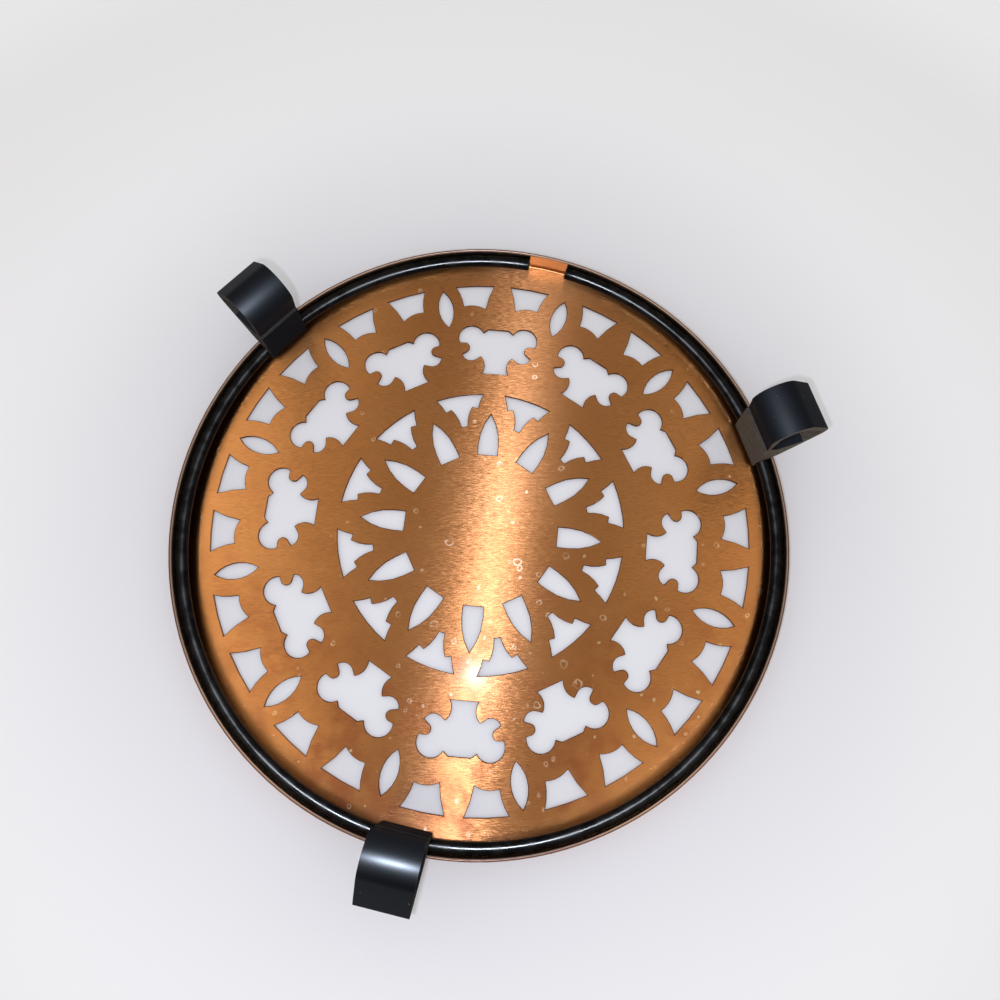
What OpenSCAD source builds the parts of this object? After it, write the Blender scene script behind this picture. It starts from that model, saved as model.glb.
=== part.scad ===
// Round pierced copper trivet on three looped feet.
// The origin is the middle of the plate's top face, and +Z is up.
// Lengths are in millimetres and angles in degrees.

/* [Plate] */
// Outer diameter of the rim
rim_d = 190.5; // [170:0.5:240]
// Thickness of the copper sheet
sheet_t = 0.8; // [0.6:0.1:1.2]
// Depth of the turned-down rim below the plate's top face
rim_depth = 7.6; // [7:0.1:10]
// Outside radius of the bend between plate and rim
bend_r = 1.8; // [1.5:0.1:2.5]

/* [Pierced pattern] */
// Number of times the pattern repeats round the plate
repeats = 12; // [6:1:13]
// Flat margin between the outermost holes and the rim's outside
pattern_margin = 10; // [8:0.25:15]

/* [Retaining ring] */
// Diameter of the ring's wire
wire_d = 3.8; // [3:0.1:4.4]
// Angle left open between the ring's two ends
ring_gap = 7.8; // [4:0.2:12]
// Direction of the middle of that opening, seen from above
ring_gap_dir = -80.8; // [-90:0.1:-70]

/* [Feet] */
// Width of a foot along the rim
foot_w = 14.5; // [10:0.5:20]
// Reach of the feet below the plate's underside
foot_drop = 36.1; // [33:0.1:45]
// Thickness of the foot's strap
strap_t = 2.2; // [1.6:0.1:3]
// Outside radius of the curve that stands on the table
toe_r = 6.4; // [5.5:0.1:7.5]
// Outside radius of the curve furthest from the plate
heel_r = 6.2; // [5.5:0.1:7]
// Height of the centre of that curve above the table
heel_rise = 12.6; // [11.5:0.1:14]
// Reach of the loop outside the rim
loop_out = 9.1; // [7.5:0.1:11]
// Reach of the loop inside the hook's inner face
loop_in = 4.2; // [3.5:0.1:5]
// Wall of the hook that goes round the wire
hook_t = 1.2; // [1:0.1:1.6]
// Running gap between a foot and what it slides on
foot_gap = 0.3; // [0.2:0.05:0.4]

/* [Hidden] */
$fn = 96;

// The directions of the feet, seen from above, as they stand at rest
foot_dirs = [-22.5, 98.4, 219.5];

// The plate and the places that follow from it
rim_r = rim_d / 2;
wall_r = rim_r - sheet_t;
under_z = -sheet_t;
rim_z = -rim_depth;
edge_r = sheet_t / 2;
bend_in_r = bend_r - sheet_t;
table_z = under_z - foot_drop;

// The pattern is struck in four quarters, each a little out of step
pattern_r = rim_r - pattern_margin;
quarters = 4;
quarter_slips = [0, 1.5, 0.2, 1.1];
row_step = 360 / repeats;
overrun = 1;
hole_step = 12;
bend_step = 6;

// The ring lies against the rim's wall, inside the hooks of the feet
seat_gap = 0.1;
ring_r = wall_r - wire_d / 2 - seat_gap;
channel_r = wire_d / 2 + foot_gap;
hook_r = channel_r + hook_t;
foot_top = under_z - foot_gap;
ring_z = foot_top - hook_r;

// Hole outlines: points [across, outward, bulge], in shares of pattern_r.
// The bulge belongs to the side that starts at its point: the tangent of a
// quarter of the arc's angle, positive where the hole swells.
lancet_shares = [
    [0, 0.452, 0.149],
    [0.0375, 0.328, 0],
    [0.0375, 0.287, 0]
];
barb_shares = [
    [0, 0.533, 0.043],
    [0.0909, 0.5252, -0.06],
    [0.0616, 0.4721, 0],
    [0.041, 0.4815, -0.143],
    [0.0111, 0.4047, 0]
];
bell_shares = [
    [0, 0.807, 0],
    [0.0399, 0.807, 0],
    [0.0587, 0.7906, 1],
    [0.1485, 0.7425, 0],
    [0.1279, 0.7443, -0.7],
    [0.1147, 0.708, 0],
    [0.1345, 0.6916, 0.495],
    [0.0774, 0.6792, 0],
    [0.0616, 0.6915, -0.358],
    [0.0504, 0.6194, 0]
];
leaf_shares = [
    [0, 0.987, 0.364],
    [0, 0.828, 0.364]
];
trapeze_shares = [
    [-0.0768, 0.997, 0.0386],
    [0.0768, 0.997, -0.108],
    [0.0469, 0.9109, -0.228],
    [-0.0393, 0.8968, -0.077]
];
// Where a pair of trapezes stands either side of its bell, as a share of one repeat
trapeze_share = 0.2118;

// The foot's side profile: [distance from the plate's axis, height]
hook_u = ring_r - hook_r;
face_lean = 2.6;
ledge_rise = 16.4;
groove_w = 0.7;
groove_d = 0.6;
groove_wall = 0.9;
shoulder = 0.6;
shoulder_z = rim_z - foot_gap;
floor_step = [3.8, 3.2];
back_share = 0.75;

toe = [hook_u - loop_in + toe_r, table_z + toe_r];
heel = [rim_r + loop_out - heel_r, table_z + heel_rise];
ledge = [hook_u - face_lean, table_z + ledge_rise];
groove = ledge + [groove_d, -groove_w];
back = [rim_r + shoulder, shoulder_z];

// Unit vector at an angle, angle of a vector, and where a line from p touches a curve
function dir(a) = [cos(a), sin(a)];
function heading(v) = atan2(v.y, v.x);
function touch(p, c, r, side) = heading(p - c) + side * acos(r / norm(p - c));

// Directions in which the strap's outer face looks on its three straight runs
front_a = touch(groove, toe, toe_r, 1);
sole_a = heading(heel - toe) - acos((toe_r - heel_r) / norm(heel - toe));
back_a = touch(back, heel, heel_r, -1);

// The inside corners where the strap leaves the foot's solid root
front_inner = groove - groove_wall * dir(front_a);
back_inner = back + back_share * (heel + heel_r * dir(back_a) - back) - strap_t * dir(back_a);

// Points along the arc from p to q whose bulge is b, without q itself
function arc_side(p, q, b) =
    abs(b) == 0 ? [p] :
    let (
        half = norm(q - p) / 2,
        sweep = 4 * atan(abs(b)),
        radius = half / sin(sweep / 2),
        across = (q - p) / (2 * half),
        out = sign(b) * [-across.y, across.x],
        centre = (p + q) / 2 - out * radius * cos(sweep / 2),
        steps = max(2, ceil(sweep / hole_step))
    )
    [for (i = [0:steps - 1]) let (a = (i / steps - 1 / 2) * sweep)
        centre + radius * (out * cos(a) + across * sin(a))];

// An outline of shares, made into points at full size
function outline(shares) =
    let (n = len(shares))
    [for (i = [0:n - 1]) let (s = shares[i], e = shares[(i + 1) % n])
        each arc_side(pattern_r * [s.x, s.y], pattern_r * [e.x, e.y], s.z)];

// The other half of an outline that is drawn from its outer to its inner end
function mirrored(shares) =
    let (n = len(shares))
    concat(shares, [[0, shares[n - 1].y, 0]],
        [for (i = [n - 1:-1:1]) [-shares[i].x, shares[i].y, shares[i - 1].z]]);

// Points along a bend of radius r about c, from angle a to angle b
function bend(c, r, a, b) =
    let (steps = ceil(abs(b - a) / bend_step))
    [for (i = [0:steps]) c + r * dir(a + (b - a) * i / steps)];

// The strap's line round both curves of the foot, that far inside its outer face
function strap_line(inset) = concat(
    bend(toe, toe_r - inset, front_a, sole_a + 360),
    bend(heel, heel_r - inset, sole_a, back_a));

module pressed_sheet() {
    bend_c = [rim_r - bend_r, -bend_r];
    edge_c = [rim_r - edge_r, rim_z + edge_r];
    rotate_extrude()
        polygon(concat(
            [[0, under_z], [0, 0]],
            bend(bend_c, bend_r, 90, 0),
            bend(edge_c, edge_r, 0, -180),
            bend(bend_c, bend_in_r, 0, 90)
        ));
}

module hole(shares) {
    translate([0, 0, under_z - overrun])
        linear_extrude(sheet_t + 2 * overrun)
            polygon(outline(shares));
}

// One repeat of the pattern, with its bell on the +Y axis
module pattern_repeat() {
    hole(mirrored(lancet_shares));
    hole(mirrored(bell_shares));
    rotate([0, 0, -trapeze_share * row_step])
        hole(trapeze_shares);
    mirror([1, 0, 0])
        rotate([0, 0, -trapeze_share * row_step])
            hole(trapeze_shares);
    rotate([0, 0, row_step / 2]) {
        hole(mirrored(barb_shares));
        hole(leaf_shares);
    }
}

module plate() {
    color("#b87445")
        difference() {
            pressed_sheet();
            for (k = [0:repeats - 1])
                rotate([0, 0, 180 + k * row_step + quarter_slips[floor(k * quarters / repeats)]])
                    pattern_repeat();
        }
}

module retaining_ring() {
    color("#1b1c1e")
        rotate([0, 0, ring_gap_dir + ring_gap / 2])
            rotate_extrude(angle = 360 - ring_gap)
                translate([ring_r, ring_z])
                    circle(d = wire_d);
}

module foot_body() {
    rotate([90, 0, 0])
        linear_extrude(foot_w, center = true)
            difference() {
                polygon(concat(
                    bend([ring_r, ring_z], hook_r, 90, 180),
                    [ledge, groove],
                    strap_line(0),
                    [back, [back.x, foot_top]]
                ));
                polygon(concat(
                    strap_line(strap_t),
                    [back_inner, front_inner + floor_step, front_inner]
                ));
            }
}

// The space that the rim, its bend and the wire take out of a foot
module seat_cut() {
    clear_r = wall_r - foot_gap;
    outside_r = back.x + foot_w;
    over_z = foot_top + overrun;
    rotate_extrude()
        polygon([
            [clear_r, shoulder_z],
            [clear_r, foot_top - bend_in_r],
            [clear_r - bend_in_r, foot_top],
            [clear_r - bend_in_r, over_z],
            [outside_r, over_z],
            [outside_r, shoulder_z]
        ]);
    rotate_extrude()
        translate([ring_r, ring_z])
            circle(r = channel_r);
}

module foot(number) {
    color("#232426")
        rotate([0, 0, foot_dirs[number - 1]])
            difference() {
                foot_body();
                seat_cut();
            }
}

module foot_1() {
    foot(1);
}

module foot_2() {
    foot(2);
}

module foot_3() {
    foot(3);
}

plate();
retaining_ring();
foot_1();
foot_2();
foot_3();
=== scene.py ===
from math import radians

import bmesh
import bpy
from mathutils import Matrix, Vector


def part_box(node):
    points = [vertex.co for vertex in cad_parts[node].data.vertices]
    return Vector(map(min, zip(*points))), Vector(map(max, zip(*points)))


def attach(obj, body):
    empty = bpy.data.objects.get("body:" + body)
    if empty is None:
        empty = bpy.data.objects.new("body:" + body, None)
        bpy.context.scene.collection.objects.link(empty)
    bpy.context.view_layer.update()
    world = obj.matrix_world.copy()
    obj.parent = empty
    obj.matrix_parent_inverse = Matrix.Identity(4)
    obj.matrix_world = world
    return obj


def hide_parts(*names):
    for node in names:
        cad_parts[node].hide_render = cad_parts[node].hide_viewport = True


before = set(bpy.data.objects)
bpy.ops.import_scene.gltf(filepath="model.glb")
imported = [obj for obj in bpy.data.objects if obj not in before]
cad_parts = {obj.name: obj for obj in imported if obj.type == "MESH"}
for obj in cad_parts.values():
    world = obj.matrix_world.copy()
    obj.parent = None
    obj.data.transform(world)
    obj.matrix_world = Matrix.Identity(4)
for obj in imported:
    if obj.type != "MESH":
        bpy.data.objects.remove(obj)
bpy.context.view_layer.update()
mm = 0.001


# Small helpers for shader nodes

def newNode(tree, kind, x, y, **settings):
    node = tree.nodes.new(kind)
    node.location = (x, y)
    for key, value in settings.items():
        setattr(node, key, value)
    return node


def feed(tree, socket, value):
    # A socket takes either a fixed value or what another node puts out
    if isinstance(value, bpy.types.NodeSocket):
        tree.links.new(value, socket)
    else:
        socket.default_value = value


def newMaterial(name):
    material = bpy.data.materials.new(name)
    material.use_nodes = True
    tree = material.node_tree
    tree.nodes.clear()
    output = newNode(tree, "ShaderNodeOutputMaterial", 900, 0)
    shader = newNode(tree, "ShaderNodeBsdfPrincipled", 600, 0)
    tree.links.new(shader.outputs["BSDF"], output.inputs["Surface"])
    return material, tree, shader


def newGroup(name, inputs):
    # A group that takes these inputs and puts out one mask
    group = bpy.data.node_groups.new(name, "ShaderNodeTree")
    for label, kind, value in inputs:
        socket = group.interface.new_socket(label, in_out="INPUT", socket_type=kind)
        if value is not None:
            socket.default_value = value
    group.interface.new_socket("Mask", in_out="OUTPUT", socket_type="NodeSocketFloat")
    given = newNode(group, "NodeGroupInput", -900, 0)
    return group, given.outputs, newNode(group, "NodeGroupOutput", 900, 0)


def calculate(tree, x, y, operation, *values):
    node = newNode(tree, "ShaderNodeMath", x, y, operation=operation)
    for socket, value in zip(node.inputs, values):
        feed(tree, socket, value)
    return node.outputs["Value"]


def vectorMath(tree, x, y, operation, first, second=None, third=None, scale=None):
    node = newNode(tree, "ShaderNodeVectorMath", x, y, operation=operation)
    for label, value in ((0, first), (1, second), (2, third), ("Scale", scale)):
        if value is not None:
            feed(tree, node.inputs[label], value)
    return node.outputs["Value" if operation in ("LENGTH", "DISTANCE") else "Vector"]


def fromRange(tree, x, y, value, source, target=(0, 1), smooth=False):
    # What lies between the two ends of source comes out between the two ends of target
    node = newNode(tree, "ShaderNodeMapRange", x, y,
                   interpolation_type="SMOOTHSTEP" if smooth else "LINEAR")
    feed(tree, node.inputs["Value"], value)
    for label, end in zip(("From Min", "From Max", "To Min", "To Max"), (*source, *target)):
        feed(tree, node.inputs[label], end)
    return node.outputs["Result"]


def noise(tree, x, y, place, scale, detail=2):
    node = newNode(tree, "ShaderNodeTexNoise", x, y)
    for label, value in (("Vector", place), ("Scale", scale), ("Detail", detail)):
        feed(tree, node.inputs[label], value)
    return node.outputs


def cells(tree, x, y, place, scale):
    node = newNode(tree, "ShaderNodeTexVoronoi", x, y)
    feed(tree, node.inputs["Vector"], place)
    feed(tree, node.inputs["Scale"], scale)
    return node.outputs


def separate(tree, x, y, vector):
    node = newNode(tree, "ShaderNodeSeparateXYZ", x, y)
    feed(tree, node.inputs["Vector"], vector)
    return node.outputs


def faceValue(tree, x, y, name):
    return newNode(tree, "ShaderNodeAttribute", x, y, attribute_name=name).outputs["Fac"]


def mixColour(tree, x, y, factor, first, second, blend="MIX"):
    node = newNode(tree, "ShaderNodeMix", x, y, data_type="RGBA", blend_type=blend)
    for label, value in ((0, factor), ("A", first), ("B", second)):
        feed(tree, node.inputs[label], value)
    return node.outputs["Result"]


def stain(tree, x, y, under, colour, mask, strength=None):
    # The colour under a mask mixed with one more colour
    if strength is not None:
        mask = calculate(tree, x - 200, y - 300, "MULTIPLY", mask, strength)
    return mixColour(tree, x, y, mask, under, colour)


def ramp(tree, x, y, value, stops):
    node = newNode(tree, "ShaderNodeValToRGB", x, y)
    feed(tree, node.inputs["Fac"], value)
    elements = node.color_ramp.elements
    while len(elements) < len(stops):
        elements.new(0.5)
    for element, (place, grey) in zip(elements, stops):
        element.position = place
        element.color = (grey, grey, grey, 1)
    return node.outputs["Color"]


def roughen(tree, x, y, shader, place, scale, detail, strength, depth):
    # A fine grain raised on the surface
    bump = newNode(tree, "ShaderNodeBump", x + 300, y)
    feed(tree, bump.inputs["Strength"], strength)
    feed(tree, bump.inputs["Distance"], depth)
    feed(tree, bump.inputs["Height"], noise(tree, x, y, place, scale, detail)["Fac"])
    feed(tree, shader.inputs["Normal"], bump.outputs["Normal"])


# Solids taken from the frame, merged, with their sharp edges rounded

nearlyFlat = radians(0.4)
nearlyLevel = 0.9999


def mergedCopy(node, name):
    piece = bpy.data.objects.new(name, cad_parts[node].data.copy())
    bpy.context.scene.collection.objects.link(piece)
    piece.data.materials.clear()
    return piece


def roundEdges(piece, settings):
    mesh = bmesh.new()
    mesh.from_mesh(piece.data)
    bmesh.ops.remove_doubles(mesh, verts=mesh.verts, dist=settings["merge"])
    bmesh.ops.dissolve_limit(mesh, angle_limit=nearlyFlat, verts=mesh.verts, edges=mesh.edges)
    sharp = [edge for edge in mesh.edges
             if edge.is_manifold and edge.calc_face_angle() > settings["sharp"]]
    rounding = mesh.faces.layers.float.new("edge")
    rounded = bmesh.ops.bevel(mesh, geom=sharp, offset=settings["round"], offset_type="OFFSET",
                              segments=settings["segments"], profile=0.5, affect="EDGES",
                              clamp_overlap=settings["clamp"], material=-1)
    for face in rounded["faces"]:
        face[rounding] = 1
    bmesh.ops.triangulate(mesh, faces=[face for face in mesh.faces if len(face.verts) > 4])
    mesh.to_mesh(piece.data)
    mesh.free()
    piece.data.shade_smooth()
    piece.data.set_sharp_from_angle(angle=settings["smooth"])
    for face in piece.data.polygons:
        if face.area > settings["flatArea"] and abs(face.normal.z) > nearlyLevel:
            face.use_smooth = False
    print(piece.name, len(piece.data.polygons), "faces")


def markFaces(piece, name, values):
    piece.data.attributes.new(name, "FLOAT", "FACE").data.foreach_set("value", values)


def finishPiece(piece, node, body, material):
    piece.data.materials.append(material)
    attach(piece, body)
    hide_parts(node)


# Effects that more than one material shares

wear = {
    # Widest speck, as a share of its cell
    "speck": 0.24,
    "wornWhere": (0.38, 0.60),
    "wornDetail": 3,
    "patchEnds": (0.34, 0.66),
}


def specksGroup():
    # Round specks of dust, each a fraction of a millimetre wide
    group, given, result = newGroup("dustSpecks", [
        ("Vector", "NodeSocketVector", None),
        ("Scale", "NodeSocketFloat", 900),
        ("Share", "NodeSocketFloat", 0.05)])
    cell = cells(group, -600, 0, given["Vector"], given["Scale"])
    random = separate(group, -400, -200, cell["Color"])
    chosen = calculate(group, -200, -200, "LESS_THAN", random["X"], given["Share"])
    radius = calculate(group, -400, -50, "MULTIPLY", random["Y"], wear["speck"])
    dot = fromRange(group, -200, 0, cell["Distance"], (radius, 0))
    feed(group, result.inputs["Mask"], calculate(group, 0, 0, "MULTIPLY", dot, chosen))
    return group


def wornEdgeGroup():
    # The rounded edges of a piece, broken up where the wear skips
    group, given, result = newGroup("wornEdge", [
        ("Vector", "NodeSocketVector", None),
        ("Scale", "NodeSocketFloat", 700)])
    edge = faceValue(group, -600, 200, "edge")
    patchy = noise(group, -600, -100, given["Vector"], given["Scale"], wear["wornDetail"])["Fac"]
    broken = fromRange(group, -400, -100, patchy, wear["wornWhere"])
    feed(group, result.inputs["Mask"], calculate(group, -200, 0, "MULTIPLY", edge, broken))
    return group


def cloudsGroup():
    # Soft patches between zero and one
    group, given, result = newGroup("softPatches", [
        ("Vector", "NodeSocketVector", None),
        ("Scale", "NodeSocketFloat", 40),
        ("Detail", "NodeSocketFloat", 5)])
    patchy = noise(group, -600, 0, given["Vector"], given["Scale"], given["Detail"])["Fac"]
    feed(group, result.inputs["Mask"],
         fromRange(group, -400, 0, patchy, wear["patchEnds"], smooth=True))
    return group


shared = {"specks": specksGroup(), "wornEdge": wornEdgeGroup(), "clouds": cloudsGroup()}


def sharedMask(tree, kind, x, y, place, values):
    node = newNode(tree, "ShaderNodeGroup", x, y, node_tree=shared[kind])
    feed(tree, node.inputs["Vector"], place)
    for label, value in values.items():
        feed(tree, node.inputs[label], value)
    return node.outputs["Mask"]


# Copper

copper = {
    "body": (0.60, 0.290, 0.118, 1),
    "dark": (0.555, 0.256, 0.098, 1),
    "reddish": (0.50, 0.195, 0.085, 1),
    # Dark brown of oxidised specks, also used as painted shade on the holes' walls and along the rim's edge
    "oxideAndShade": (0.085, 0.030, 0.014, 1),
    # Painted shade: how strongly the holes' walls and rounded edges are darkened
    "paintedShadeOnCuts": 0.88,
    "oxideSpecks": 0.7,
    # Sizes of the patterns: soft clouds of colour, fine and wide mottling, specks
    "clouds": {"Scale": 28},
    "mottle": {"Scale": 160, "Detail": 6},
    "wide": {"Scale": 45, "Detail": 3},
    "specks": {"Scale": 620, "Share": 0.010},
    "waterMark": (1.0, 0.76, 0.54, 1),
    "roughness": 0.36,
    # The finest scratches move the roughness this much, as they go between these two strengths
    "dashRoughness": 0.07,
    "dashes": (0.25, 0.75),
    "dropRoughness": 0.08,
    "handledRoughness": 0.10,
    "coat": (0.08, 0.13),
    "brushTurn": radians(4),
    "scratchTurn": radians(4.7),
    # Layers of scratches: how closely they lie, and their slopes
    "scratches": [
        ((70, 2800, 2800), (0.030, 0.09, 0)),
        ((2800, 3200, 3200), (0.13, 0.11, 0)),
        ((500, 14000, 14000), (0.13, 1.7, 0)),
    ],
    # Share of the second layer that shows where nobody handled the copper
    "speckled": 0.3,
    # The handled side: from the middle of the plate towards the photographer
    "handledSide": (0, 60 * mm),
    # Painted light: gain on the colour towards both corners of the end nearer the photographer, standing in
    # for reflected light there
    "cornerPaintedLight": 1.52,
    "outer": (15 * mm, 55 * mm),
    "nearer": (25 * mm, 80 * mm),
}

rimFinish = {
    "roughness": 0.24,
    "metallic": 0.55,
    # A pale tarnish, partly a painted highlight on the rolled edge
    "patinaAndHighlight": (0.46, 0.34, 0.28, 1),
    "patinaAndHighlightStrength": 0.9,
    "patinaAndHighlightHeights": (-2.0 * mm, -6.8 * mm),
    # Heights between which the wall becomes the rounded edge
    "brim": (-6.8 * mm, -7.2 * mm),
    # A dark line of painted shade along the middle of that edge: its radius and how it fades
    "edgeLine": 94.85 * mm,
    "edgeFade": (0.22 * mm, 0.08 * mm),
    # Painted reflection: the wall inside the rim mirrors the sheet, so it is painted a lighter colour
    "wallPaintedReflection": (0.87, 0.64, 0.45, 1),
    "innerRadii": (94.7 * mm, 94.5 * mm),
    "innerHeights": (-1.4 * mm, -2.6 * mm),
}

driedDrops = {
    "underside": -0.8 * mm,
    # The underside begins between these two heights
    "below": (-0.5 * mm, -0.7 * mm),
    # How much the outlines wander
    "wobbleScale": 420,
    "wobble": (1.5 * mm, 1.9 * mm, 0),
    # Large drops: across, along and radius in millimetres
    "large": [
        (-9.6, 5.1, 1.05), (-11.7, 30.9, 1.0), (-23.0, 29.1, 0.7), (28.9, 39.6, 1.0), (40.1, 24.8, 0.9),
        (24.2, -21.8, 0.7), (27.4, 6.5, 0.9), (-21.1, -4.0, 0.55), (-17.2, 14.6, 0.35), (-10.5, 14.7, 0.4),
        (12.5, 9.5, 1.1), (13.4, 11.6, 0.8), (-15.5, 27.4, 0.9), (33.5, 45.2, 1.3), (21.7, 52.3, 0.9),
    ],
    "largeLine": (0.34 * mm, 0.10 * mm),
    # Small drops, one to a cell: radius and line as shares of the cell
    "smallScale": 215,
    "smallRadius": (0.05, 0.17),
    "smallLine": (0.055, 0.02),
    # More cells hold a drop towards the photographer, and fewer to the left
    "along": ((-20 * mm, 40 * mm), (0.14, 0.75)),
    "across": ((-60 * mm, -10 * mm), (0.25, 1)),
    "fadeScale": 260,
    "fade": ((0.36, 0.62), (0.15, 1)),
}


def dropOutlines(tree, place, spot, x, y):
    # Pale outlines of dried drops on the underside: a few large ones, and small ones scattered by cells
    wander = driedDrops["wobble"]
    wobble = noise(tree, x, y, place, driedDrops["wobbleScale"])["Color"]
    bent = vectorMath(tree, x + 200, y, "MULTIPLY_ADD", wobble, wander, place)
    outlines = None
    for row, (across, along, radius) in enumerate(driedDrops["large"]):
        level = y - 200 * row
        centre = (across * mm + wander[0] / 2, along * mm + wander[1] / 2, driedDrops["underside"])
        away = vectorMath(tree, x + 400, level, "DISTANCE", bent, centre)
        off = calculate(tree, x + 600, level, "SUBTRACT", away, radius * mm)
        off = calculate(tree, x + 760, level, "ABSOLUTE", off)
        line = fromRange(tree, x + 920, level, off, driedDrops["largeLine"])
        outlines = line if outlines is None else calculate(tree, x + 1080, level, "MAXIMUM", outlines, line)
    cell = cells(tree, x + 400, y + 300, bent, driedDrops["smallScale"])
    random = separate(tree, x + 600, y + 400, cell["Color"])
    radius = fromRange(tree, x + 760, y + 400, random["Y"], (0, 1), driedDrops["smallRadius"])
    off = calculate(tree, x + 920, y + 300, "SUBTRACT", cell["Distance"], radius)
    off = calculate(tree, x + 1080, y + 300, "ABSOLUTE", off)
    line = fromRange(tree, x + 1240, y + 300, off, driedDrops["smallLine"])
    share = fromRange(tree, x + 900, y + 600, spot["Y"], *driedDrops["along"])
    aside = fromRange(tree, x + 900, y + 850, spot["X"], *driedDrops["across"])
    share = calculate(tree, x + 1080, y + 700, "MULTIPLY", share, aside)
    chosen = calculate(tree, x + 1080, y + 500, "LESS_THAN", random["X"], share)
    small = calculate(tree, x + 1400, y + 300, "MULTIPLY", line, chosen)
    outlines = calculate(tree, x + 1560, y, "MAXIMUM", outlines, small)
    patchy = noise(tree, x + 1400, y - 300, place, driedDrops["fadeScale"])["Fac"]
    fading = fromRange(tree, x + 1560, y - 300, patchy, *driedDrops["fade"])
    outlines = calculate(tree, x + 1720, y, "MULTIPLY", outlines, fading)
    below = fromRange(tree, x + 1720, y - 300, spot["Z"], driedDrops["below"])
    return calculate(tree, x + 1880, y, "MULTIPLY", outlines, below)


def rimColour(tree, colour, place, spot, rim, brim):
    # Tarnish and painted highlight down the rim, a dark line of painted shade along its edge, and the wall
    # inside it made lighter as a painted reflection
    # Tarnish and painted highlight: the rim grows pale down towards its rolled edge
    patinaAndHighlight = fromRange(tree, -900, -1000, spot["Z"], rimFinish["patinaAndHighlightHeights"])
    colour = stain(tree, -300, 100, colour, rimFinish["patinaAndHighlight"], patinaAndHighlight, rimFinish["patinaAndHighlightStrength"])
    # Painted shade: a dark line along the middle of the rim's rounded edge
    level = vectorMath(tree, -1500, -1200, "MULTIPLY", place, (1, 1, 0))
    reach = vectorMath(tree, -1300, -1200, "LENGTH", level)
    off = calculate(tree, -1100, -1200, "SUBTRACT", reach, rimFinish["edgeLine"])
    off = calculate(tree, -1000, -1300, "ABSOLUTE", off)
    line = fromRange(tree, -900, -1200, off, rimFinish["edgeFade"])
    line = calculate(tree, -700, -1300, "MULTIPLY", line, brim)
    colour = stain(tree, -200, 100, colour, copper["oxideAndShade"], line)
    # Painted reflection: the wall inside the rim is made lighter where it mirrors the sheet
    wall = fromRange(tree, -900, -1700, reach, rimFinish["innerRadii"])
    straight = fromRange(tree, -900, -1900, spot["Z"], rimFinish["innerHeights"])
    aboveBrim = calculate(tree, -700, -1450, "SUBTRACT", 1, brim)
    for column, mask in enumerate((straight, rim, aboveBrim)):
        wall = calculate(tree, -700 + 150 * column, -1600, "MULTIPLY", wall, mask)
    return stain(tree, -150, 300, colour, rimFinish["wallPaintedReflection"], wall)


def copperColour(tree, place, spot, rim, brim, handled, drops):
    clouds = sharedMask(tree, "clouds", -1700, 0, place, copper["clouds"])
    specks = sharedMask(tree, "specks", -1100, -600, place, copper["specks"])
    cut = faceValue(tree, -900, -800, "cut")
    colour = mixColour(tree, -1300, 100, clouds, copper["dark"], copper["body"])
    colour = stain(tree, -1100, 100, colour, copper["reddish"], handled)
    colour = stain(tree, -900, 100, colour, copper["waterMark"], drops)
    colour = stain(tree, -700, 100, colour, copper["oxideAndShade"], specks, copper["oxideSpecks"])
    # Painted shade darkens the holes' walls and their rounded edges
    colour = stain(tree, -500, 100, colour, copper["oxideAndShade"], cut, copper["paintedShadeOnCuts"])
    colour = rimColour(tree, colour, place, spot, rim, brim)
    # Painted light: the colour grows lighter towards both near corners, standing in for reflected light
    sideways = calculate(tree, -1300, 1300, "ABSOLUTE", spot["X"])
    outer = fromRange(tree, -1100, 1300, sideways, copper["outer"], smooth=True)
    nearer = fromRange(tree, -1100, 1500, spot["Y"], copper["nearer"], smooth=True)
    corner = calculate(tree, -900, 1400, "MULTIPLY", outer, nearer)
    cornerPaintedLight = fromRange(tree, -700, 1400, corner, (0, 1), (1, copper["cornerPaintedLight"]))
    return vectorMath(tree, -100, 200, "SCALE", colour, scale=cornerPaintedLight)


def scratchLayers(tree, place):
    # Scratches along one direction, each layer with its own slopes along and across
    turned = newNode(tree, "ShaderNodeVectorRotate", -2400, 600, rotation_type="Z_AXIS")
    feed(tree, turned.inputs["Angle"], copper["scratchTurn"])
    feed(tree, turned.inputs["Vector"], place)
    slopes = []
    for row, (stretch, strength) in enumerate(copper["scratches"]):
        level = 900 - 300 * row
        space = newNode(tree, "ShaderNodeMapping", -2200, level)
        feed(tree, space.inputs["Scale"], stretch)
        feed(tree, space.inputs["Vector"], turned.outputs["Vector"])
        streaks = noise(tree, -2000, level, space.outputs["Vector"], 1)
        centred = vectorMath(tree, -1800, level, "SUBTRACT", streaks["Color"], (0.5, 0.5, 0.5))
        slopes.append(vectorMath(tree, -1600, level, "MULTIPLY", centred, strength))
    return slopes, streaks["Fac"]


def brushedNormal(tree, slopes, flat, handled):
    # The scratches tilt the surface directly, because a bump map would blur them away
    coarse, speckled, fine = slopes
    shown = calculate(tree, -1500, 500, "ADD", handled, copper["speckled"])
    speckled = vectorMath(tree, -1300, 700, "SCALE", speckled, scale=shown)
    tilt = vectorMath(tree, -1300, 900, "ADD", coarse, fine)
    tilt = vectorMath(tree, -1100, 900, "ADD", tilt, speckled)
    tilt = vectorMath(tree, -900, 900, "SCALE", tilt, scale=flat)
    inWorld = newNode(tree, "ShaderNodeVectorTransform", -700, 900, vector_type="VECTOR",
                      convert_from="OBJECT", convert_to="WORLD")
    feed(tree, inWorld.inputs["Vector"], tilt)
    surface = newNode(tree, "ShaderNodeNewGeometry", -700, 1100)
    bent = vectorMath(tree, -500, 1000, "ADD", surface.outputs["Normal"], inWorld.outputs["Vector"])
    return vectorMath(tree, -300, 1000, "NORMALIZE", bent)


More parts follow.
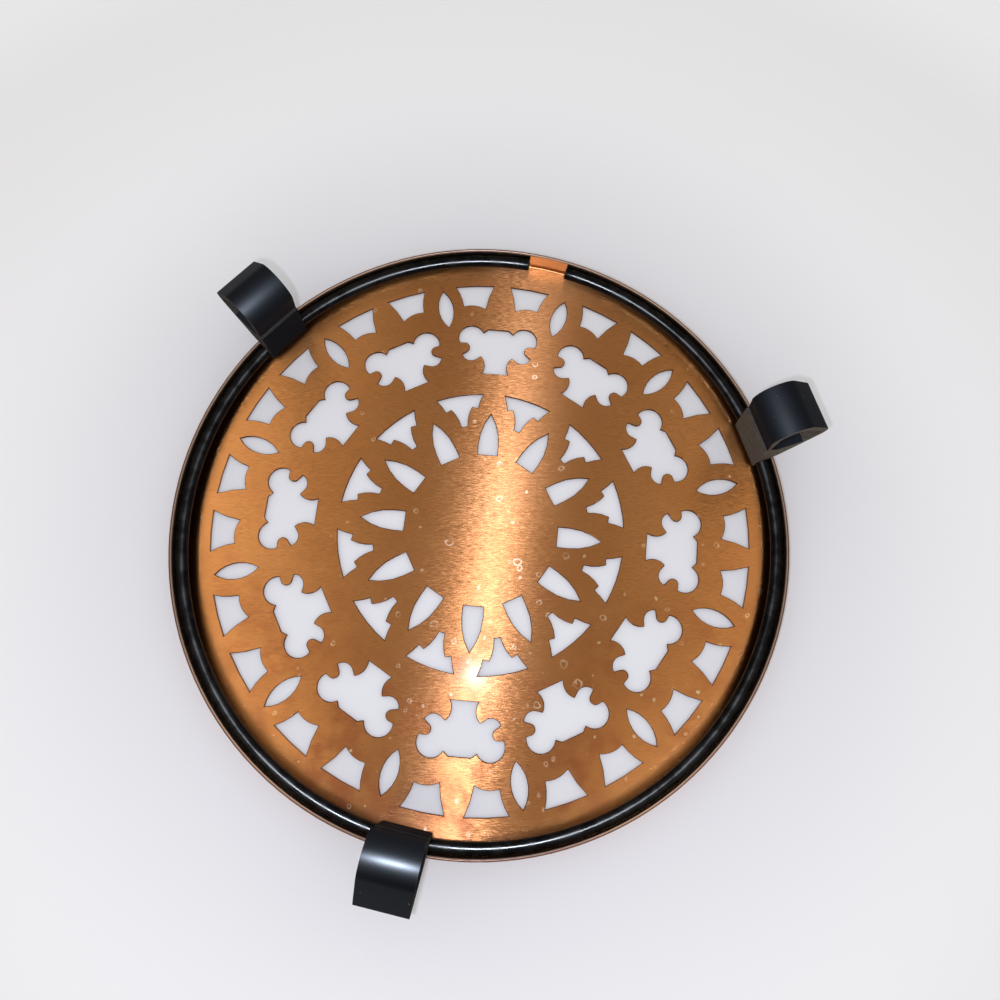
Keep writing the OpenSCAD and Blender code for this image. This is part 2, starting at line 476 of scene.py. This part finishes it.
def copperMaterial():
    material, tree, shader = newMaterial("brushedCopper")
    place = newNode(tree, "ShaderNodeTexCoord", -2600, 0).outputs["Object"]
    spot = separate(tree, -2400, -600, place)
    rim = faceValue(tree, -2400, 300, "rim")
    flat = calculate(tree, -2200, 300, "SUBTRACT", 1, rim)
    brim = fromRange(tree, -900, -1400, spot["Z"], rimFinish["brim"])
    drops = dropOutlines(tree, place, spot, -3900, -1200)
    slopes, dashes = scratchLayers(tree, place)

    # Redder, duller mottling where the copper was handled
    mottle = sharedMask(tree, "clouds", -1700, -250, place, copper["mottle"])
    wide = sharedMask(tree, "clouds", -1700, -500, place, copper["wide"])
    side = fromRange(tree, -1700, -750, spot["Y"], copper["handledSide"])
    handled = calculate(tree, -1500, -400, "MULTIPLY", mottle, wide)
    handled = calculate(tree, -1350, -400, "MULTIPLY", handled, side)

    flatDrops = calculate(tree, -1300, -900, "MULTIPLY", drops, flat)
    feed(tree, shader.inputs["Base Color"],
         copperColour(tree, place, spot, rim, brim, handled, flatDrops))

    middle, swing = copper["roughness"], copper["dashRoughness"]
    roughness = fromRange(tree, -1300, 500, dashes, copper["dashes"], (middle - swing, middle + swing))
    for column, (mask, share) in enumerate((
            (drops, copper["dropRoughness"]), (handled, copper["handledRoughness"]))):
        extra = calculate(tree, -1100 + 200 * column, 300, "MULTIPLY", mask, share)
        roughness = calculate(tree, -900 + 200 * column, 500, "ADD", roughness, extra)
    polish = newNode(tree, "ShaderNodeMix", -400, 500, data_type="FLOAT")
    for label, value in ((0, rim), ("A", roughness), ("B", rimFinish["roughness"])):
        feed(tree, polish.inputs[label], value)
    feed(tree, shader.inputs["Roughness"], polish.outputs["Result"])

    tarnished = calculate(tree, -100, 500, "MULTIPLY", rim, brim)
    feed(tree, shader.inputs["Metallic"],
         fromRange(tree, 100, 500, tarnished, (0, 1), (1, rimFinish["metallic"])))
    for label, value in zip(("Coat Weight", "Coat Roughness"), copper["coat"]):
        feed(tree, shader.inputs[label], value)

    # Highlights stretch across the brushing on the flat sheet only
    along = newNode(tree, "ShaderNodeTangent", 300, -300, direction_type="UV_MAP", uv_map="brushing")
    feed(tree, shader.inputs["Tangent"], along.outputs["Tangent"])
    feed(tree, shader.inputs["Anisotropic"], flat)
    feed(tree, shader.inputs["Normal"], brushedNormal(tree, slopes, flat, handled))
    return material


plateSettings = {
    "merge": 0.002 * mm, "sharp": radians(50), "round": 0.20 * mm, "segments": 2,
    "smooth": radians(15), "flatArea": 0, "clamp": False,
    # The holes lie inside the first radius and the rim outside the second
    "holesWithin": 90 * mm,
    "rimBeyond": 92 * mm,
    # Upward share of a normal, below which a face belongs to a hole's wall or to the rim
    "holeWall": 0.5,
    "rimWall": 0.98,
}


def brushingMap(piece):
    # One UV map across the brushing, so that highlights stretch across it
    turn = Matrix.Rotation(-copper["brushTurn"], 2)
    layer = piece.data.uv_layers.new(name="brushing")
    for loop in piece.data.loops:
        spot = turn @ piece.data.vertices[loop.vertex_index].co.xy
        layer.data[loop.index].uv = (spot.y, spot.x)


def markPlate(piece, settings):
    # "cut": the holes' walls and their rounded edges, which get painted dark shade; "rim": the unbrushed rim
    rounded = [item.value > 0 for item in piece.data.attributes["edge"].data]
    cut, rim = [], []
    for face in piece.data.polygons:
        reach, upward = face.center.xy.length, abs(face.normal.z)
        inHole = rounded[face.index] or upward < settings["holeWall"]
        cut.append(1 if reach < settings["holesWithin"] and inHole else 0)
        rim.append(1 if reach > settings["rimBeyond"] and upward < settings["rimWall"] else 0)
    markFaces(piece, "cut", cut)
    markFaces(piece, "rim", rim)


plate = mergedCopy("plate", "piercedPlate")
roundEdges(plate, plateSettings)
brushingMap(plate)
markPlate(plate, plateSettings)
finishPiece(plate, "plate", "root", copperMaterial())
print("copper plate done")


# Wire ring

wire = {
    "colour": (0.0025, 0.0025, 0.003, 1),
    "worn": (0.040, 0.034, 0.030, 1),
    "scuffed": 0.10,
    "dust": (0.16, 0.15, 0.14, 1),
    "dusty": 0.6,
    "scuffs": {"Scale": 260, "Detail": 5},
    "edges": {"Scale": 900},
    "specks": {"Scale": 900, "Share": 0.03},
    # Roughness where the paint is cleanest and where it is most scuffed
    "roughness": (0.20, 0.34),
    "specular": 0.08,
    "sheen": (0.88, 0.92, 1.0, 1),
    # Paint grain: scale, detail, strength and depth
    "grain": (1600, 2, 0.5, 0.01 * mm),
}


def wireMaterial():
    material, tree, shader = newMaterial("blackWire")
    place = newNode(tree, "ShaderNodeTexCoord", -1400, 0).outputs["Object"]
    clouds = sharedMask(tree, "clouds", -1200, 100, place, wire["scuffs"])
    worn = sharedMask(tree, "wornEdge", -1200, -150, place, wire["edges"])
    specks = sharedMask(tree, "specks", -1200, -400, place, wire["specks"])
    scuffs = calculate(tree, -1000, -50, "MULTIPLY", clouds, wire["scuffed"])
    scuffs = calculate(tree, -950, -150, "MAXIMUM", scuffs, worn)
    colour = mixColour(tree, -900, 0, scuffs, wire["colour"], wire["worn"])
    colour = stain(tree, -500, 0, colour, wire["dust"], specks, wire["dusty"])
    feed(tree, shader.inputs["Base Color"], colour)
    feed(tree, shader.inputs["Roughness"], fromRange(tree, -500, 300, clouds, (0, 1), wire["roughness"]))
    feed(tree, shader.inputs["Specular IOR Level"], wire["specular"])
    feed(tree, shader.inputs["Specular Tint"], wire["sheen"])
    roughen(tree, -500, -300, shader, place, *wire["grain"])
    return material


ringSettings = {
    "merge": 0.002 * mm, "sharp": radians(50), "round": 0.25 * mm, "segments": 3,
    "smooth": radians(40), "flatArea": 1, "clamp": True,
}

ring = mergedCopy("retaining_ring", "wireRing")
roundEdges(ring, ringSettings)
finishPiece(ring, "retaining_ring", "root", wireMaterial())
print("wire ring done")


# Feet

moulding = {
    "colour": (0.0025, 0.003, 0.0055, 1),
    # Brown of dust, and of painted light where a face catches copper-coloured light
    "dustAndPaintedLight": (0.125, 0.102, 0.074, 1),
    # Least share of the dust and painted light on a face that has it
    "mottled": 0.70,
    "worn": (0.30, 0.28, 0.25, 1),
    "wornStrength": 0.65,
    "dust": (0.30, 0.31, 0.33, 1),
    "dusty": 0.6,
    "clouds": {"Scale": 900, "Detail": 6},
    "edges": {"Scale": 800},
    "specks": {"Scale": 750, "Share": 0.045},
    # Each from the glossiest faces to the most matt ones
    "roughness": (0.34, 0.75),
    "specular": (0.12, 0.05),
    "sheen": (0.74, 0.84, 1.0, 1),
    # Grain of the moulding: scale, detail, strength and depth
    "grain": (1500, 3, 0.6, 0.012 * mm),
}


def mouldingMaterial():
    material, tree, shader = newMaterial("blackMoulding")
    place = newNode(tree, "ShaderNodeTexCoord", -1600, 0).outputs["Object"]
    clouds = sharedMask(tree, "clouds", -1400, 100, place, moulding["clouds"])
    worn = sharedMask(tree, "wornEdge", -1400, -150, place, moulding["edges"])
    specks = sharedMask(tree, "specks", -1400, -400, place, moulding["specks"])
    matt = faceValue(tree, -1400, 350, "matt")
    dustAndPaintedLight = faceValue(tree, -1400, 550, "dustAndPaintedLight")
    # Dust and painted light: a brown layer on the faces marked for it
    mottled = fromRange(tree, -1200, 100, clouds, (0, 1), (moulding["mottled"], 1))
    dustAndLightShare = calculate(tree, -1000, 200, "MULTIPLY", dustAndPaintedLight, mottled)
    colour = mixColour(tree, -800, 100, dustAndLightShare, moulding["colour"], moulding["dustAndPaintedLight"])
    colour = stain(tree, -600, 100, colour, moulding["worn"], worn, moulding["wornStrength"])
    colour = stain(tree, -400, 100, colour, moulding["dust"], specks, moulding["dusty"])
    feed(tree, shader.inputs["Base Color"], colour)
    for row, (label, ends) in enumerate((
            ("Roughness", moulding["roughness"]), ("Specular IOR Level", moulding["specular"]))):
        feed(tree, shader.inputs[label], fromRange(tree, -400, 400 + 250 * row, matt, (0, 1), ends))
    feed(tree, shader.inputs["Specular Tint"], moulding["sheen"])
    roughen(tree, -600, -600, shader, place, *moulding["grain"])
    return material


footSettings = {
    "merge": 0.002 * mm, "sharp": radians(35), "round": 0.25 * mm, "segments": 3,
    "smooth": radians(30), "flatArea": 1, "clamp": True,
    # Middle of the loop: distance from the plate's axis and height
    "loop": (94 * mm, -25 * mm),
    "rootHeight": -19.6 * mm,
    "grooveHeights": (-22.2 * mm, -20.3 * mm),
    # A face that looks this much sideways is one of the moulding's two sides
    "side": 0.7,
    # A face inside the loop that looks this much inward lies on the heel
    "heel": -0.2,
    # The strap grows duller where it leans this much inward or outward, and each strap is dull this much
    "dull": (0.5, 1.1),
    "strap": {1: 0.74, 2: 0.06, 3: 0.46},
    # Share of the sides' layer that paints the groove pale as a highlight line
    "groove": 0.5,
    # How much dust and painted light the matt faces get: sides, inside of the heel, root; the copper-lit
    # first foot gets the most
    "dustAndPaintedLight": {1: (0.9, 0.8, 0.75), 2: (0.3, 0.3, 0), 3: (0.4, 0.4, 0)},
}


def markFoot(piece, number, settings):
    # The moulding's sides, the inside of the loop and the root are duller than the strap and carry a brown
    # layer, partly dust and partly painted light, most on the copper-lit first foot; the groove under the
    # strap's free end is painted pale as a highlight line
    sides, heel, root = settings["dustAndPaintedLight"][number]
    middle = sum((Vector(corner) for corner in piece.bound_box), Vector()) / 8
    outward = Vector((middle.x, middle.y, 0)).normalized()
    across = outward.cross(Vector((0, 0, 1)))
    loop = outward * settings["loop"][0] + Vector((0, 0, settings["loop"][1]))
    low, high = settings["grooveHeights"]
    start, full = settings["dull"]
    matt, dustAndPaintedLight = [], []
    for face in piece.data.polygons:
        fromLoop = face.center - loop
        dullness, dustAndLight = 1, 0
        if abs(face.normal.dot(across)) > settings["side"]:
            dustAndLight = sides
        elif face.normal.dot(fromLoop) < 0:
            dustAndLight = heel if face.normal.dot(outward) < settings["heel"] else 0
        # Painted highlight: the groove under the strap's free end is made pale
        elif low < face.center.z < high and fromLoop.dot(outward) < 0:
            dustAndLight = sides * settings["groove"]
        elif face.center.z > settings["rootHeight"]:
            dustAndLight = root
        else:
            lean = (abs(face.normal.dot(outward)) - start) / (full - start)
            dullness = min(max(lean, settings["strap"][number]), 1)
        matt.append(dullness)
        dustAndPaintedLight.append(dustAndLight)
    markFaces(piece, "matt", matt)
    markFaces(piece, "dustAndPaintedLight", dustAndPaintedLight)


footMaterial = mouldingMaterial()
feet = []
for number in (1, 2, 3):
    foot = mergedCopy(f"foot_{number}", f"loopedFoot{number}")
    roundEdges(foot, footSettings)
    markFoot(foot, number, footSettings)
    finishPiece(foot, f"foot_{number}", f"foot_{number}_body", footMaterial)
    feet.append(foot)
print("feet done")


# Stage: the photograph's white table lies against the top face and is seen from below only,
# and the floor that the feet stand on is seen from above only

stage = {
    "size": 3.0,
    "pale": (0.985, 0.98, 0.985, 1),
    "shaded": (0.775, 0.78, 0.80, 1),
    # Distances from the middle between which the shade of the trivet fades away
    "shade": (85 * mm, 180 * mm),
    "roughness": 0.9,
    "tableGap": 0.3 * mm,
    # The photograph's table is seen only where the view meets it this squarely
    "squarely": (0.37, 0.42),
}


def oneSided(name, facingUp):
    material, tree, shader = newMaterial(name)
    place = newNode(tree, "ShaderNodeTexCoord", -400, 0)
    away = vectorMath(tree, -200, 0, "LENGTH", place.outputs["Object"])
    fade = fromRange(tree, 0, 0, away, stage["shade"], smooth=True)
    feed(tree, shader.inputs["Base Color"],
         mixColour(tree, 200, 0, fade, stage["shaded"], stage["pale"]))
    feed(tree, shader.inputs["Roughness"], stage["roughness"])
    hidden = newNode(tree, "ShaderNodeNewGeometry", 300, 300).outputs["Backfacing"]
    if not facingUp:
        slant = newNode(tree, "ShaderNodeLayerWeight", 100, 500)
        glancing = fromRange(tree, 300, 500, slant.outputs["Facing"], stage["squarely"])
        hidden = calculate(tree, 500, 400, "MAXIMUM", hidden, glancing)
    clear = newNode(tree, "ShaderNodeBsdfTransparent", 600, 300)
    choose = newNode(tree, "ShaderNodeMixShader", 800, 100)
    for label, value in enumerate((hidden, shader.outputs["BSDF"], clear.outputs["BSDF"])):
        feed(tree, choose.inputs[label], value)
    feed(tree, tree.nodes["Material Output"].inputs["Surface"], choose.outputs["Shader"])
    return material


def stagePlane(name, height, facingUp):
    mesh = bmesh.new()
    bmesh.ops.create_grid(mesh, x_segments=1, y_segments=1, size=stage["size"] / 2)
    if not facingUp:
        bmesh.ops.reverse_faces(mesh, faces=mesh.faces)
    bmesh.ops.translate(mesh, verts=mesh.verts, vec=(0, 0, height))
    plane = bpy.data.objects.new(name, bpy.data.meshes.new(name))
    mesh.to_mesh(plane.data)
    mesh.free()
    bpy.context.scene.collection.objects.link(plane)
    plane.data.materials.append(oneSided(name, facingUp))
    plane.visible_diffuse = False
    plane.visible_glossy = False
    plane.visible_transmission = False
    plane.visible_shadow = False


lowest = min(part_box(f"foot_{number}")[0].z for number in (1, 2, 3))
stagePlane("photoTable", stage["tableGap"], False)
stagePlane("floor", lowest, True)
print("stage done")


# Lamps: each with its place, what it points at, its width and height, its power and its colour

lamps = {
    "flash": ((-3 * mm, 50 * mm, -214 * mm), (-3 * mm, 45 * mm, 0), (6 * mm, 6 * mm), 0.14, (1, 0.99, 1.18)),
    # The photograph shows the flash much brighter in the black parts than in the brushed copper
    "glintOnBlack": ((-13 * mm, 50 * mm, -214 * mm), (-13 * mm, 45 * mm, 0), (80 * mm, 12 * mm), 5.0,
                     (0.92, 0.96, 1)),
    "keyAbove": ((0.7, -0.5, 1.1), (0, 0, 0), (0.8, 0.8), 3.2, (1, 1, 1)),
    "fillAbove": ((-0.9, 0.6, 0.9), (0, 0, 0), (0.8, 0.8), 1.4, (1, 1, 1)),
}


def softLamp(name):
    place, target, size, power, colour = lamps[name]
    lamp = bpy.data.lights.new(name, "AREA")
    lamp.shape = "RECTANGLE"
    lamp.size, lamp.size_y = size
    lamp.energy = power
    lamp.color = colour
    holder = bpy.data.objects.new(name, lamp)
    bpy.context.scene.collection.objects.link(holder)
    holder.location = place
    holder.rotation_euler = (Vector(target) - Vector(place)).to_track_quat("-Z", "Y").to_euler()
    return holder


holders = {name: softLamp(name) for name in lamps}
blackParts = bpy.data.collections.new("blackParts")
for piece in [ring] + feet:
    blackParts.objects.link(piece)
holders["glintOnBlack"].visible_diffuse = False
holders["glintOnBlack"].light_linking.receiver_collection = blackParts
print("lamps done")


# The room, which lights the trivet and is mirrored in it

room = {
    # What the camera sees above and below the horizon, and how wide the change between them is
    "sky": (0.80, 0.80, 0.81, 1),
    "below": (0.73, 0.725, 0.72, 1),
    "horizon": (-0.25, 0.0),
    # What reflections see below the horizon
    "colour": (1.26, 1.05, 0.77, 1),
    "brightness": 2.4,
    # How bright that is from one side of the photographer to the other
    "sides": [(0.0, 0.08), (0.17, 0.10), (0.25, 1.0), (0.30, 0.97), (0.33, 0.68), (0.36, 0.46), (0.42, 0.28),
              (0.5, 0.24), (0.58, 0.31), (0.64, 0.47), (0.68, 0.64), (0.71, 0.92), (0.75, 1.0), (0.83, 0.10),
              (1.0, 0.08)],
    # And from the far end of the table to the near one
    "lengthways": [(0.0, 0.10), (0.2, 0.445), (0.4, 0.445), (0.48, 0.45), (0.62, 1.0), (0.76, 0.9),
                   (0.86, 0.2), (1.0, 0.03)],
    # How bright the space above the trivet looks in its reflections, from the horizon upwards
    "dome": [(0.0, 0.10), (0.12, 0.36), (0.28, 0.64), (0.46, 0.56), (0.62, 0.09), (1.0, 0.06)],
}


def studioWorld():
    world = bpy.data.worlds.new("studio")
    bpy.context.scene.world = world
    world.use_nodes = True
    tree = world.node_tree
    tree.nodes.clear()
    output = newNode(tree, "ShaderNodeOutputWorld", 800, 0)
    light = newNode(tree, "ShaderNodeBackground", 600, 0)
    place = newNode(tree, "ShaderNodeTexCoord", -400, 0)
    toward = separate(tree, -200, 0, place.outputs["Generated"])
    mirrored = newNode(tree, "ShaderNodeLightPath", -200, -300).outputs["Is Glossy Ray"]
    sideways = fromRange(tree, 0, -300, toward["X"], (-1, 1))
    forward = fromRange(tree, 0, -600, toward["Y"], (-1, 1))
    sides = ramp(tree, 200, -300, sideways, room["sides"])
    lengthways = ramp(tree, 200, -600, forward, room["lengthways"])
    gain = calculate(tree, 400, -600, "MULTIPLY", lengthways, room["brightness"])
    walls = mixColour(tree, 400, -300, 1, room["colour"], sides, "MULTIPLY")
    walls = vectorMath(tree, 500, -400, "SCALE", walls, scale=gain)
    dome = ramp(tree, 0, -1300, toward["Z"], room["dome"])
    lower = mixColour(tree, 100, -900, mirrored, room["below"], walls)
    upper = mixColour(tree, 200, -1200, mirrored, room["sky"], dome)
    height = fromRange(tree, 0, 0, toward["Z"], room["horizon"])
    feed(tree, light.inputs["Color"], mixColour(tree, 300, 0, height, lower, upper))
    tree.links.new(light.outputs["Background"], output.inputs["Surface"])


studioWorld()

# The photograph's camera, below the trivet and looking up at its underside
view = {
    "place": (7.4 * mm, 39.3 * mm, -214.1 * mm),
    "right": (0.9966, -0.0823, -0.0092),
    "up": (-0.0822, -0.9710, -0.2244),
    "lens": 24.57,
    "sensor": 36,
    "nearest": 10 * mm,
}
camera = bpy.data.objects.new("camera", bpy.data.cameras.new("camera"))
bpy.context.scene.collection.objects.link(camera)
camera.data.lens = view["lens"]
camera.data.sensor_width = view["sensor"]
camera.data.clip_start = view["nearest"]
right, up = Vector(view["right"]).normalized(), Vector(view["up"]).normalized()
back = right.cross(up).normalized()
up = back.cross(right)
camera.matrix_world = Matrix.Translation(view["place"]) @ Matrix((right, up, back)).transposed().to_4x4()
bpy.context.scene.camera = camera
bpy.context.scene.view_settings.view_transform = "Standard"
print("world and camera done")
